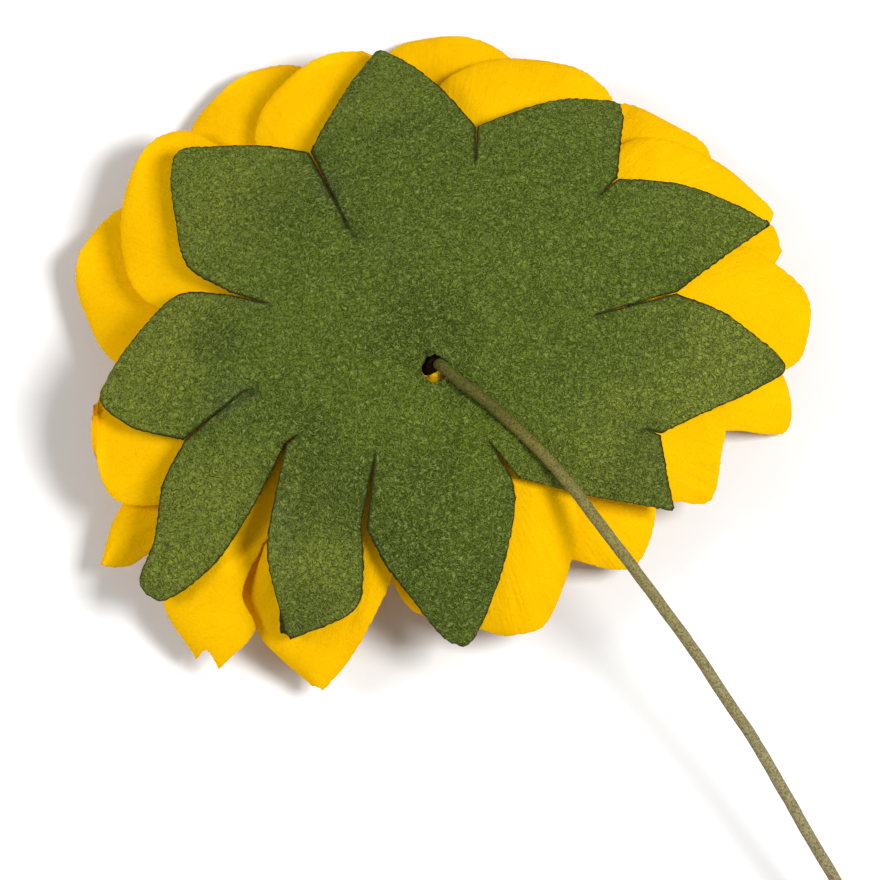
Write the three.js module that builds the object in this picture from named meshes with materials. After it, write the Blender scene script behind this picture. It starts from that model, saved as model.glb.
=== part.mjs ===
// Paper flower on a covered wire stem, lying face down: millimetres, +Z up.
// Three lobed paper sheets are stacked on the stem: a green calyx on top (the flower's back),
// then two yellow petal sheets of ten petals each. A rolled paper centre is glued below them,
// round the stem's end. The sheets are domed, so the flower rests on its petal tips.
import * as THREE from 'three';
import { mergeVertices } from 'three/addons/utils/BufferGeometryUtils.js';

// ---- driving dimensions ----
const APEX_HEIGHT = 16; // top of the calyx at its middle, before the flower is set down
const PAPER = 0.4; // thickness of every sheet
const SHEET_PITCH = 0.85; // from one sheet's top to the next one's, at the middle
const RIM_DROP = 9.5; // how far the dome has fallen at its rim
const DOME_POWER = 2.1;
const RIM_MEAN = 25.7; // the rim's plan radius, and how far it is from round
const RIM_OVAL = 2.2;
const OVAL_BEARING = 17;
const RIM_FULLER = 3.2;
const FULLER_BEARING = 112;
const PETAL_SPREAD = [0, 1.2, 2.6]; // extra fall at the rim: calyx, back petals, front petals
const SHEET_OFFSET = [0, 0.5, 0.8]; // how far each sheet's lobes lie beyond the middle, along +Y
const CUP = [0.35, 0.6, 0.6]; // how far a lobe's two edges hang below its middle line
const SLIT = 0.3; // width of the cut between two lobes
const LOBE_COLUMNS = 6;

const STEM_DIAMETER = 0.93;
const STEM_SIDES = 8;
const STEM_STEPS = 56;

const CENTRE_RADIUS = 8.5;
const CENTRE_FACE = 3.6; // the centre's lowest point
const CENTRE_TURNS = 5; // ridges of the rolled strip on its face
const CENTRE_FALL = 2.3; // how far its top falls to follow the dome
const CENTRE_BORE = 0.9;
const CENTRE_BORE_FLOOR = 8.6;
const CENTRE_SEGMENTS = 24;

// The hole in each sheet: centre x, y and radius. The stem stands at STEM_AT in all of them.
const HOLES = [[0.15, 0.05, 1.2], [0.45, 0.2, 1.1], [0.5, -0.05, 0.95]];
const STEM_AT = [0.5, -0.05];

// ---- outlines ----
// A lobe is eight points, [bearing in degrees, distance from the middle], taken round its
// edge from its clockwise notch, over the tip, to its counter-clockwise notch.
const CALYX_LOBES = [
  [
    [345, 18], [354, 21.7], [359, 24.8], [362.7, 27],
    [365.4, 26.4], [368.5, 24.9], [373, 22.9], [378.6, 19.6],
  ],
  [
    [18.5, 19.7], [22, 22.9], [24.3, 25.8], [26, 28.8],
    [26.4, 28.8], [31, 27.1], [39, 24.2], [47, 20.8],
  ],
  [
    [47, 20.8], [52, 23.5], [54.5, 25.2], [56.4, 26],
    [58.5, 25.8], [65, 24.1], [72, 21.8], [80, 19.5],
  ],
  [
    [80, 19.5], [88, 22.5], [94, 24.9], [98, 26.4],
    [99.5, 26.4], [106, 23.6], [112.5, 21.3], [118.4, 19.6],
  ],
  [
    [118.4, 19.6], [125, 22], [132.6, 24.7], [137.2, 26.4],
    [141, 25.7], [148, 23.1], [156, 20.4], [159, 16.5],
  ],
  [
    [159, 16.5], [162, 20.2], [172, 22.8], [181, 25],
    [184, 25.3], [189.5, 23.2], [193, 21], [195.4, 19.6],
  ],
  [
    [195.3, 19.5], [202, 22.1], [210, 24.4], [215.2, 27.3],
    [218.8, 26.7], [220.8, 22.3], [217.5, 17.2], [208, 12.5],
  ],
  [
    [208, 12.5], [220.5, 15.8], [228, 18.7], [240.3, 22.5],
    [241.3, 22.5], [252, 18.6], [251.5, 16.3], [246, 13],
  ],
  [
    [247.5, 13.2], [256.4, 15.2], [264.3, 17], [273.5, 19.9],
    [277.5, 20.3], [288.7, 16.2], [301.6, 12.1], [306, 10.5],
  ],
  [
    [307.5, 10.7], [318, 13.8], [326, 17.4], [331.2, 20.9],
    [332, 20.9], [334.5, 20.1], [339.3, 19], [345, 18],
  ],
];
// Where each cut ends, between a lobe and the next one counter-clockwise.
const CALYX_ROOTS = [
  [18, 13.2], [47, 19.2], [78.5, 16.8], [120.5, 12.5], [158.7, 13.9],
  [187, 14.4], [207.5, 11.7], [238, 8.2], [306.5, 7.4], [345, 17.2],
];

const BACK_PETALS = [
  [
    [-1, 17], [1, 24], [3, 27.4], [6, 28.7],
    [14, 29.7], [20, 27.9], [24, 26], [25, 20],
  ],
  [
    [25, 20], [25.5, 26.5], [26.2, 28.8], [27.5, 29.6],
    [29.5, 29.3], [39, 27.8], [49, 25], [55, 19],
  ],
  [
    [55, 19], [56.5, 24], [58, 26], [62, 26.8],
    [69, 26.9], [78.4, 25.9], [88, 23.2], [94, 18],
  ],
  [
    [94, 18], [97, 23], [100.5, 26.3], [104, 26.8],
    [112.4, 26.5], [121.6, 24.8], [127, 22.5], [131, 17],
  ],
  [
    [131, 17], [131.5, 23], [133.5, 27.1], [137.5, 28.4],
    [145, 28.2], [155, 26.3], [164.4, 23.2], [170, 16],
  ],
  [
    [170, 16], [176, 22], [181, 25], [185, 25.6],
    [196, 26.4], [201, 25.9], [205, 23.5], [209, 17],
  ],
  [
    [209, 17], [214, 23], [219.2, 26.5], [229, 27.7],
    [233.5, 27.4], [235.2, 23.7], [230, 22], [226, 18.5],
  ],
  [
    [226, 18.5], [231, 22], [236.5, 23.6], [248, 24.8],
    [250.5, 24.9], [254, 21.9], [258, 17.5], [263, 12.5],
  ],
  [
    [263, 12.5], [270, 16], [278, 18.8], [286, 20.3],
    [294, 20.6], [306.5, 17.8], [316, 15.5], [322, 12],
  ],
  [
    [322, 12], [327, 17], [333.4, 21.2], [336.7, 23.1],
    [346, 22.8], [354, 22.5], [357, 20.5], [359, 17],
  ],
];
const FRONT_PETALS = [
  [
    [338, 14], [346, 19], [350.5, 23.2], [353.3, 27.4],
    [361, 27.1], [365, 25.5], [368, 22], [370, 15],
  ],
  [
    [10, 15], [12, 22], [15, 26.5], [19, 28.5],
    [24.5, 28.7], [28, 27], [32, 23], [35, 15],
  ],
  [
    [35, 15], [37, 23], [38.5, 27], [41, 28.2],
    [49, 27.4], [56, 26.6], [60, 24], [65, 16],
  ],
  [
    [65, 16], [70, 22], [75, 25.6], [81, 27.2],
    [90, 27.4], [96, 26.8], [101, 24], [106, 16],
  ],
  [
    [106, 16], [109, 24], [112, 27], [118, 28.2],
    [126, 28.1], [133, 27.2], [138, 24], [143.5, 16],
  ],
  [
    [143.5, 16], [147, 24], [150, 27.5], [157, 28.7],
    [163, 28.6], [169, 27], [176.7, 24.4], [186, 16],
  ],
  [
    [186, 16], [197, 22], [202, 26], [207.5, 28.8],
    [211, 27.4], [212, 25.2], [216, 22], [221, 15],
  ],
  [
    [221, 15], [224.5, 20], [229, 22.4], [234, 23.1],
    [241, 23], [246, 21.5], [249, 18], [251, 12],
  ],
  [
    [251, 12], [256, 15], [262, 17.3], [266, 18.2],
    [271, 18.6], [279, 18], [286, 16], [293, 11],
  ],
  [
    [293, 11], [300, 15], [308, 18], [317.5, 21],
    [329.5, 19.8], [333, 18], [336, 16], [338, 14],
  ],
];
const PETAL_ROOT = 8.5; // both petal sheets are cut in to this distance

// The stem's centre line, from its glued end in the centre to its cut end.
const STEM_POINTS = [
  [0.5, -0.05, 9.3], [0.5, -0.05, 12.3], [0.5, -0.05, 14.9], [0.72, -0.31, 16.25],
  [1.8, -1.33, 16.56], [4.2, -3.13, 16.1], [7, -5.5, 15.1], [10, -8.49, 14.05],
  [13.4, -12.81, 12.9], [17.2, -17.75, 11.5], [21.6, -23.74, 9.9], [25.5, -29.65, 8.3],
  [28.2, -34.18, 7.15], [30.8, -38.53, 6.05], [36, -47.68, 3.8], [40.3, -55.34, 1.9],
  [43.2, -60.8, 0.6],
];

const rad = THREE.MathUtils.degToRad;
const lerp = THREE.MathUtils.lerp;

// Plan radius of the dome's rim at a bearing: an oval, fuller on the side away from the stem.
function rimRadius(bearing) {
  const oval = RIM_OVAL * Math.cos(2 * rad(bearing - OVAL_BEARING));
  return RIM_MEAN + oval + RIM_FULLER * Math.cos(rad(bearing - FULLER_BEARING));
}

// Point of a sheet's top face. along is 0 at the cut's end and 1 at the tip; across is -1..1.
function sheetPoint(layer, bearing, distance, along, across) {
  const x = distance * Math.cos(rad(bearing));
  const offset = SHEET_OFFSET[layer] * THREE.MathUtils.smoothstep(distance, 2, 15);
  const y = distance * Math.sin(rad(bearing)) + offset;
  const reach = Math.hypot(x, y) / rimRadius(THREE.MathUtils.radToDeg(Math.atan2(y, x)));
  const dome = RIM_DROP * reach ** DOME_POWER + PETAL_SPREAD[layer] * reach ** 2;
  const cup = CUP[layer] * Math.min(1, along * 1.5) * across ** 2;
  return [x, y, APEX_HEIGHT - layer * SHEET_PITCH - dome - cup];
}

// Distance from the middle to the edge of a sheet's hole, which lies a little off the middle.
function holeReach([x, y, radius], bearing) {
  const along = x * Math.cos(rad(bearing)) + y * Math.sin(rad(bearing));
  const aside = -x * Math.sin(rad(bearing)) + y * Math.cos(rad(bearing));
  return along + Math.sqrt(radius ** 2 - aside ** 2);
}

// The two edges of one lobe, from the hole outwards, as rows of [bearing, distance, along].
function lobeRows(layer, lobe, rootRight, rootLeft) {
  const rows = [];
  for (const share of [0, 0.3, 0.65]) {
    const ends = [rootRight, rootLeft].map(([bearing, distance]) => {
      return [bearing, lerp(holeReach(HOLES[layer], bearing), distance, share), 0];
    });
    rows.push(ends);
  }
  rows.push([[...rootRight, 0], [...rootLeft, 0]]);
  for (let i = 0; i < 4; i += 1) {
    const right = lobe[i];
    const left = lobe[7 - i];
    const trimRight = THREE.MathUtils.radToDeg(SLIT / 2 / right[1]);
    const trimLeft = THREE.MathUtils.radToDeg(SLIT / 2 / left[1]);
    const trim = i < 3 ? 1 : 0;
    const along = (i + 1) / 4;
    rows.push([
      [right[0] + trim * trimRight, right[1], along],
      [left[0] - trim * trimLeft, left[1], along],
    ]);
  }
  return rows;
}

// The top face of one lobe and its share of the middle, as a grid of points.
function lobeGrid(layer, lobe, rootRight, rootLeft) {
  return lobeRows(layer, lobe, rootRight, rootLeft).map(([right, left], rowNumber) => {
    const row = [];
    for (let i = 0; i <= LOBE_COLUMNS; i += 1) {
      const t = i / LOBE_COLUMNS;
      const bearing = lerp(right[0], left[0], t);
      const distance = rowNumber === 0 ? holeReach(HOLES[layer], bearing) : lerp(right[1], left[1], t);
      row.push(sheetPoint(layer, bearing, distance, right[2], 2 * t - 1));
    }
    return row;
  });
}

// Closes a top face, given as triangles, with an equal bottom face and walls on its open edges.
function thicken(triangles, thickness) {
  const soup = new THREE.BufferGeometry();
  soup.setAttribute('position', new THREE.Float32BufferAttribute(triangles.flat(2), 3));
  const top = mergeVertices(soup, 1e-4);
  const points = top.attributes.position;
  const count = points.count;
  const index = Array.from(top.index.array);
  const vertices = [];
  for (const drop of [0, thickness]) {
    for (let i = 0; i < count; i += 1) {
      vertices.push(points.getX(i), points.getY(i), points.getZ(i) - drop);
    }
  }
  const faces = [];
  const edges = new Map();
  for (let i = 0; i < index.length; i += 3) {
    const [a, b, c] = index.slice(i, i + 3);
    faces.push(a, b, c, a + count, c + count, b + count);
    for (const [from, to] of [[a, b], [b, c], [c, a]]) edges.set(`${from},${to}`, [from, to]);
  }
  for (const [from, to] of edges.values()) {
    if (edges.has(`${to},${from}`)) continue;
    faces.push(from, from + count, to + count, from, to + count, to);
  }
  const solid = new THREE.BufferGeometry();
  solid.setAttribute('position', new THREE.Float32BufferAttribute(vertices, 3));
  solid.setIndex(faces);
  solid.computeVertexNormals();
  return solid;
}

// A whole sheet: ten lobes joined at the middle and cut apart beyond their roots.
function sheetGeometry(layer, lobes, roots) {
  const triangles = [];
  lobes.forEach((lobe, k) => {
    const before = roots[(k + roots.length - 1) % roots.length];
    const after = roots[k];
    const turn = (bearing) => bearing + 360 * Math.round((lobe[3][0] - bearing) / 360);
    const grid = lobeGrid(layer, lobe, [turn(before[0]), before[1]], [turn(after[0]), after[1]]);
    for (let row = 0; row < grid.length - 1; row += 1) {
      for (let i = 0; i < LOBE_COLUMNS; i += 1) {
        const [a, b] = [grid[row][i], grid[row + 1][i]];
        const [c, d] = [grid[row + 1][i + 1], grid[row][i + 1]];
        triangles.push([a, b, c], [a, c, d]);
      }
    }
  });
  return thicken(triangles, PAPER);
}

// Both petal sheets are cut in to one distance, at each petal's counter-clockwise notch.
function petalRoots(lobes) {
  return lobes.map((lobe) => [lobe[7][0] % 360, PETAL_ROOT]);
}

// The rolled centre: a lathed block whose top follows the dome and whose face is ridged.
function centreGeometry() {
  const top = APEX_HEIGHT - 3 * SHEET_PITCH;
  const fall = (radius) => CENTRE_FALL * (radius / CENTRE_RADIUS) ** 2;
  const profile = [[0, CENTRE_FACE]];
  for (let i = 1; i <= 2 * CENTRE_TURNS; i += 1) {
    const radius = (CENTRE_RADIUS - 0.5) * (i / (2 * CENTRE_TURNS));
    const rise = 1.4 * (radius / CENTRE_RADIUS) ** 2;
    profile.push([radius, CENTRE_FACE + rise + (i % 2 ? 0.5 : 0)]);
  }
  profile.push([CENTRE_RADIUS, CENTRE_FACE + 2.4]);
  profile.push([CENTRE_RADIUS, top - fall(CENTRE_RADIUS)]);
  profile.push([CENTRE_RADIUS / 2, top - fall(CENTRE_RADIUS / 2)]);
  profile.push([CENTRE_BORE, top]);
  profile.push([CENTRE_BORE, CENTRE_BORE_FLOOR]);
  profile.push([0, CENTRE_BORE_FLOOR]);
  const outline = profile.map(([radius, height]) => new THREE.Vector2(radius, height));
  const solid = new THREE.LatheGeometry(outline, CENTRE_SEGMENTS);
  solid.rotateX(Math.PI / 2);
  return solid;
}

// The covered wire: a many-sided section carried along the stem's centre line.
function stemGeometry() {
  const section = new THREE.Shape();
  for (let i = 0; i < STEM_SIDES; i += 1) {
    const turn = (2 * Math.PI * i) / STEM_SIDES;
    const [x, y] = [Math.cos(turn) * STEM_DIAMETER / 2, Math.sin(turn) * STEM_DIAMETER / 2];
    if (i === 0) section.moveTo(x, y);
    else section.lineTo(x, y);
  }
  section.closePath();
  const points = STEM_POINTS.map(([x, y, z]) => new THREE.Vector3(x, y, z));
  const path = new THREE.CatmullRomCurve3(points, false, 'centripetal');
  return new THREE.ExtrudeGeometry(section, {
    steps: STEM_STEPS, extrudePath: path, bevelEnabled: false,
  });
}

function piece(name, geometry, colour, roughness) {
  const material = new THREE.MeshStandardMaterial({ color: colour, roughness, metalness: 0 });
  const mesh = new THREE.Mesh(geometry, material);
  mesh.name = name;
  return mesh;
}

const centre = piece('flower_centre', centreGeometry(), 0x4a2c17, 0.95);
centre.position.set(STEM_AT[0], STEM_AT[1], 0);

const flower = new THREE.Group();
flower.add(
  piece('calyx', sheetGeometry(0, CALYX_LOBES, CALYX_ROOTS), 0x4d6b2a, 0.9),
  piece('back_petals', sheetGeometry(1, BACK_PETALS, petalRoots(BACK_PETALS)), 0xfdc905, 0.85),
  piece('front_petals', sheetGeometry(2, FRONT_PETALS, petalRoots(FRONT_PETALS)), 0xfdc905, 0.85),
  centre,
  piece('stem', stemGeometry(), 0x968c66, 0.8),
);

// Set down: the frame's origin is under the middle of the whole flower, on the surface.
const extent = new THREE.Box3().setFromObject(flower);
const middle = extent.getCenter(new THREE.Vector3());
flower.position.set(-middle.x, -middle.y, -extent.min.z);

const part = new THREE.Group();
part.add(flower);

export default part;
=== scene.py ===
"""A paper flower lying face down: three lobed paper sheets, a rolled centre and a covered wire stem."""

import math

import bpy
import numpy as np
from bpy.props import FloatProperty, FloatVectorProperty, PointerProperty
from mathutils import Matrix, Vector


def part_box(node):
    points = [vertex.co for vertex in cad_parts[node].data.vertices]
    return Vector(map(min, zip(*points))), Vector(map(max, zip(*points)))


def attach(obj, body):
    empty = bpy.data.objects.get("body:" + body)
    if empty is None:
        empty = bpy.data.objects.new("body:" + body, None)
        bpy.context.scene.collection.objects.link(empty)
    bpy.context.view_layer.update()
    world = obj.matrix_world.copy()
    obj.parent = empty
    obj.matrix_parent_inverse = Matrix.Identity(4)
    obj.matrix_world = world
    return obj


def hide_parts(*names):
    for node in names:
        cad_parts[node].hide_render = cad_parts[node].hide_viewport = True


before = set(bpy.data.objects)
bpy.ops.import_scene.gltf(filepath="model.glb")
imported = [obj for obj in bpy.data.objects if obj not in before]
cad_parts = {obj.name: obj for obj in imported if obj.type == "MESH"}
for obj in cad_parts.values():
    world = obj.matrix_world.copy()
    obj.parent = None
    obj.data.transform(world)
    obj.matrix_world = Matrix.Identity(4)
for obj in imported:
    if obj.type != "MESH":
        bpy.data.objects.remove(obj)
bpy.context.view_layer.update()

bl_info = {
    "name": "Paper Flower",
    "version": (1, 0, 0),
    "blender": (4, 5, 0),
    "location": "View3D > Sidebar > Paper Flower",
    "description": "Makes a cut paper flower with a calyx, two petal sheets, a rolled centre and a stem",
    "category": "Add Mesh",
}

MM = 0.001
CALYX, BACK, FRONT = 0, 1, 2

# ---- places taken from the frame ----
# The sheets are worked out in millimetres from the hub: the sheets' middle, at the calyx's top.
STEM_FOOT = np.array([0.5, -0.05])
centre_low, centre_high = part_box("flower_centre")
HUB = np.array([
    (centre_low[0] + centre_high[0]) / 2 - STEM_FOOT[0] * MM,
    (centre_low[1] + centre_high[1]) / 2 - STEM_FOOT[1] * MM,
    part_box("calyx")[1][2],
])
CENTRE_TOP = (centre_high[2] - HUB[2]) / MM
CENTRE_FACE = (centre_low[2] - HUB[2]) / MM
CENTRE_RADIUS = (centre_high[0] - centre_low[0]) / 2 / MM

# ---- the dome that all three sheets share, in millimetres and degrees ----
SHEET_PITCH = 0.85
DOME_POWER = 2.1
PETAL_SPREAD = (0.0, 1.2, 2.6)
RIM_MEAN, RIM_OVAL, OVAL_BEARING = 25.7, 2.2, 17
RIM_FULLER, FULLER_BEARING = 3.2, 112

# ---- outlines: bearing in degrees and distance from the hub in millimetres ----
# A lobe is eight points round its edge, from its clockwise notch over the tip to the other
# notch; a torn tip has one point more.
CALYX_LOBES = [
    [(345, 18), (354, 21.7), (359, 24.8), (362.7, 27),
     (365.4, 26.4), (368.5, 24.9), (373, 22.9), (378.6, 19.6)],
    [(18.5, 19.7), (22, 22.9), (24.3, 25.8), (26, 28.8),
     (26.4, 28.8), (31, 27.1), (39, 24.2), (47, 20.8)],
    [(47, 20.8), (52, 23.5), (54.5, 25.2), (56.4, 26),
     (58.5, 25.8), (65, 24.1), (72, 21.8), (80, 19.5)],
    [(80, 19.5), (88, 22.5), (94, 24.9), (98, 26.4),
     (99.5, 26.4), (106, 23.6), (112.5, 21.3), (118.4, 19.6)],
    [(118.4, 19.6), (125, 22), (132.6, 24.7), (137.2, 26.4),
     (141, 25.7), (148, 23.1), (156, 20.4), (159, 16.5)],
    [(159, 16.5), (162, 20.2), (172, 22.8), (181, 25),
     (184, 25.3), (189.5, 23.2), (193, 21), (195.4, 19.6)],
    [(195.3, 19.5), (202, 22.1), (210, 24.4), (214.8, 27.1),
     (218.7, 26.6), (220.8, 22.3), (217.5, 17.2), (208, 12.5)],
    [(208, 12.5), (220.5, 15.8), (228, 18.7), (240.3, 22.5),
     (241.3, 22.5), (252, 18.6), (251.5, 16.3), (246, 13)],
    [(247.5, 13.2), (256.4, 15.2), (264.3, 17), (273.5, 19.9),
     (277.5, 20.3), (288.7, 16.2), (301.6, 12.1), (306, 10.5)],
    [(307.5, 10.7), (318, 13.8), (326, 17.4), (331.2, 20.9),
     (332, 20.9), (334.5, 20.1), (339.3, 19), (345, 18)],
]
# Where the cut between a lobe and the next one counter-clockwise ends, how far the first of
# the two stands over the other (negative: under it), and how deep the crease there is, with its painted
# shade.
CALYX_CUTS = [
    (18, 13.2, -0.5, 0.4), (47, 19.2, 0.1, 0.0), (78.5, 16.8, 0.1, 0.1), (120.5, 12.5, 0.5, 0.8),
    (158.7, 13.9, 0.35, 0.5), (187, 14.4, -0.4, 0.7), (207.5, 11.7, -1.3, 0.4), (238, 8.2, -0.4, 0.5),
    (306.5, 7.4, -0.2, 0.3), (345, 17.2, 0.1, 0.0),
]
BACK_PETALS = [
    [(-1, 17), (1, 24), (3, 27.4), (6, 28.7),
     (14, 29.7), (20, 27.9), (24, 26), (25, 20)],
    [(25, 20), (25.5, 26.5), (26.2, 28.8), (27.5, 29.6),
     (29.5, 29.3), (39, 27.8), (49, 25), (55, 19)],
    [(55, 19), (56.5, 24), (58, 26), (62, 26.8),
     (69, 26.9), (78.4, 25.9), (88, 23.2), (94, 18)],
    [(94, 18), (97, 23), (100.5, 26.3), (104, 26.8),
     (112.4, 26.5), (121.6, 24.8), (127, 22.5), (131, 17)],
    [(131, 17), (131.5, 23), (133.5, 27.1), (137.5, 28.4),
     (145, 28.2), (155, 26.3), (164.4, 23.2), (170, 16)],
    [(170, 16), (176, 22), (181, 25), (185, 25.6),
     (196, 26.4), (201, 25.9), (205, 23.5), (209, 17)],
    [(209, 17), (214, 23), (219.2, 26.5), (229.4, 27.7), (230, 26.8),
     (233.4, 27.3), (235, 23.5), (229.5, 22.2), (226, 18.5)],
    [(226, 18.5), (231, 22), (236.5, 23.6), (248, 24.8),
     (250.5, 24.9), (254, 21.9), (258, 17.5), (263, 12.5)],
    [(263, 12.5), (270, 16), (278, 18.8), (286, 20.3),
     (294, 20.6), (306.5, 17.8), (316, 15.5), (322, 12)],
    [(322, 12), (327, 17), (333.4, 21.2), (336.7, 23.1),
     (346, 22.8), (354, 22.5), (357, 20.5), (359, 17)],
]
FRONT_PETALS = [
    [(338, 14), (346, 19), (350.5, 23.2), (353.3, 27.4),
     (361, 27.1), (365, 25.5), (368, 22), (370, 15)],
    [(10, 15), (12, 22), (16.5, 26), (21, 28.6),
     (21.6, 28.9), (26, 29), (31, 24), (35, 15)],
    [(35, 15), (37, 23), (38.5, 27), (41, 28.2),
     (49, 27.4), (56, 26.6), (60, 24), (65, 16)],
    [(65, 16), (70, 22), (75, 25.6), (81, 27.2),
     (90, 27.4), (96, 26.8), (101, 24), (106, 16)],
    [(106, 16), (109, 24), (112, 27), (118, 28.2),
     (126, 28.1), (133, 27.2), (138, 24), (143.5, 16)],
    [(143.5, 16), (147, 24), (150, 27.5), (157, 28.7),
     (163, 28.6), (169, 27), (176.7, 24.4), (186, 16)],
    [(186, 16), (197, 22), (203.6, 26.4), (209, 29),
     (209.8, 28.7), (211.5, 27.2), (212, 25.2), (221, 15)],
    [(221, 15), (224.5, 20), (229, 22.4), (234, 23.1),
     (241, 23), (246, 21.5), (249, 18), (251, 12)],
    [(251, 12), (256, 15), (262, 17.3), (266, 18.2),
     (271, 18.6), (279, 18), (286, 16), (293, 11)],
    [(293, 11), (300, 15), (308, 18), (317.5, 21),
     (329.5, 19.8), (333, 18), (336, 16), (338, 14)],
]
TORN_TIP = 9  # a lobe with this many points keeps its corners
SHARP_TIP = 1.3  # so does one whose tip is narrower than this
POINTS_A_SIDE = 4  # the rest of a lobe's outline points shape its tip

# Both petal sheets are cut in to one distance; one edge stands over the next by PETAL_OVER.
PETAL_ROOT = 8.5
PETAL_OVER = 0.5
PETAL_CREASE = 0.4

# How far each sheet's lobes lie beyond the hub, along +Y.
SHEET_OFFSET = (0.0, 0.5, 0.8)

# ---- how each lobe hangs: cup of its edges, bend of its tip, twist, and wear with painted light ----
CALYX_HABITS = [
    (0.4, -0.2, 0.0, 0.95), (0.5, -0.4, 0.2, 0.4), (0.3, -0.3, 0.0, 0.3), (0.4, -0.3, 0.0, 0.45),
    (0.25, 0.5, -0.1, 0.65), (0.5, 0.4, 0.1, 0.9), (0.5, 0.4, -0.3, 0.85), (0.2, 0.3, -1.0, 0.7),
    (0.4, -0.2, 0.0, -0.2), (0.3, 0.2, 0.1, 1.15),
]
BACK_HABITS = [
    (0.8, -0.3, 0.1, 0), (0.5, -0.3, 0.3, 0), (0.9, -0.2, -0.3, 0), (0.8, 0.9, 0.3, 0),
    (0.8, 1.6, -0.1, 0), (0.6, 1.2, 0.0, 0), (0.3, 0.1, 0.3, 0), (0.7, -0.4, 0.3, 0),
    (0.8, -0.3, 0.1, 0), (0.6, -0.2, 0.1, 0),
]
FRONT_HABITS = [
    (0.6, -0.2, 0.2, 0), (0.5, -0.1, 0.2, 0), (0.9, -0.4, -0.2, 0), (0.8, 0.2, -0.2, 0),
    (0.9, 1.2, 0.1, 0), (0.8, 1.6, -0.2, 0), (0.6, 1.8, 0.0, 0), (0.4, -0.3, 0.0, 0),
    (0.7, -0.2, 0.1, 0), (0.7, -0.2, 0.0, 0),
]

# ---- folds, spots and holes ----
# Folds in the calyx's paper: from x, y to x, y, then height and width.
CALYX_FOLDS = [
    (-10.8, -11.5, -6.6, -16.5, 0.40, 0.8), (-14.0, -1.5, -11.0, 0.5, -0.20, 0.9),
    (-12.6, 5.1, -10.2, 3.6, -0.12, 0.8), (-6.2, 10.4, -4.6, 7.2, -0.14, 0.9),
    (6.4, -3.4, 11.5, -2.8, -0.16, 1.2), (-4.2, -6.6, -3.2, -4.4, -0.12, 0.9),
    (10.4, 3.1, 7.0, 2.2, -0.10, 0.8), (3.2, 15.8, 2.4, 9.5, -0.12, 0.9),
    (12.4, 13.6, 8.8, 9.4, -0.12, 1.1), (15.8, -4.4, 12.6, -3.4, -0.12, 1.0),
]
# A dent in the back petals, in the same terms.
PETAL_DENT = (-8.5, -8.0, -14.0, -12.5, -1.2, 1.7)
# Spots of the calyx: x, y, radius, and how light (positive) or how grey (negative). The light spots are
# partly rubbed wear and partly painted light on the lobes.
CALYX_SPOTS = [
    (15.0, -2.3, 1.4, 1.0), (-21.5, -15.9, 1.6, 1.3), (-11.9, -10.9, 1.3, -0.8), (-11.2, -13.2, 1.1, -0.5),
    (-7.9, 14.7, 1.3, -0.6), (-15.6, -2.4, 1.7, -0.7), (-13.2, 5.2, 0.9, -0.5), (15.6, -8.0, 1.8, 0.5),
    (-2.6, 9.0, 2.2, -0.2), (11.5, -3.4, 1.2, -0.2), (14.8, -6.8, 4.5, 1.0), (20.0, 0.5, 4.5, 0.5),
    (-8.9, -14.9, 3.5, 0.4), (-20.2, -1.0, 4.5, 0.5), (-17.2, -12.5, 4.0, 0.4), (-14.5, 11.6, 4.5, 0.3),
]
# Fresher, brighter patches of the calyx: x, y, radius and amount.
CALYX_FRESH = [
    (1.5, -5.0, 3.6, 0.8), (5.0, -6.5, 2.5, 0.5), (0.5, -0.5, 1.6, 0.3),
    (-3.5, 2.5, 4.0, 0.2), (-6.0, -4.0, 4.0, 0.2),
]

# Hole in each sheet: centre x, y and radius.
HOLES = ((0.22, -0.5, 1.03), (-0.05, 0.1, 1.03), (0.35, 0.05, 1.25))
# The lip round each hole: its height all round, its extra height at one bearing, and that bearing.
LIPS = ((0.10, 0.28, 105), (0.0, 0.95, 300), (0.0, 0.0, 0))

# The stem's centre line from its glued end to its cut end; heights are from the hub.
STEM_POINTS = [
    (0.5, -0.05, -6.7), (0.5, -0.05, -3.7), (0.5, -0.05, -1.1), (0.72, -0.31, 0.25), (1.8, -1.33, 0.56),
    (4.2, -3.13, 0.1), (7, -5.5, -0.9), (10, -8.49, -1.95), (13.4, -12.81, -3.1), (17.2, -17.75, -4.5),
    (21.6, -23.74, -6.1), (25.5, -29.65, -7.7), (28.2, -34.18, -8.85), (30.8, -38.53, -9.95),
    (36, -47.68, -12.2), (40.3, -55.34, -14.1), (43.2, -60.8, -15.4),
]

# ---- the paper's surface, in millimetres ----
FRAY_WAVE, FRAY_DEPTH = 0.55, 0.25  # length of the frayed bites, and how far in they reach
RIM_TURN, RIM_WIDTH = 0.12, 0.25  # the cut edge is turned down this far, over this width
# On the calyx the edge's dark colour is partly the cut edge and partly painted contact shadow.
EDGE_MARK = 0.14  # width of the edge's own colour
INSIDE = 9  # an edge distance for the paper round the hole, which has no cut edge
CREASE_SINK = 0.28
WIDE_RIPPLE, WIDE_WAVE = 0.12, 7.0
FINE_RIPPLE, FINE_WAVE = 0.03, 2.4
WRINKLE, WRINKLE_WAVE = 0.045, 1.3  # wrinkles of the petals that run out from the hub
REST_PAPERS, REST_EASE = 1.15, 0.3  # least height of a sheet's top in papers, and its easing

# Rows of a lobe's grid: from the hole to the cuts' ends, along the cuts, and up the free lobe.
HUB_ROWS, CUT_ROWS, LOBE_ROWS = 26, 10, 60
LOBE_COLUMNS = 28

# ---- the centre, in millimetres ----
BAND_DEPTH = 3.4  # from the centre's top to the underside of the roll's uncut band
BLOCK_SIDES = 48
RING_GAP = 0.78  # between two turns of the fringe
STRIP_STEPS = 6
STRIP_THICKNESS = 0.13

# ---- the view, in metres ----
CAMERA_TILT = 10  # degrees from straight down
VIEW_WIDTH = 0.0666
LENS, SENSOR = 600, 36
AIM_ASIDE, AIM_BELOW = 0.0006, 0.0059  # from the hub to the middle of the view


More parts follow.
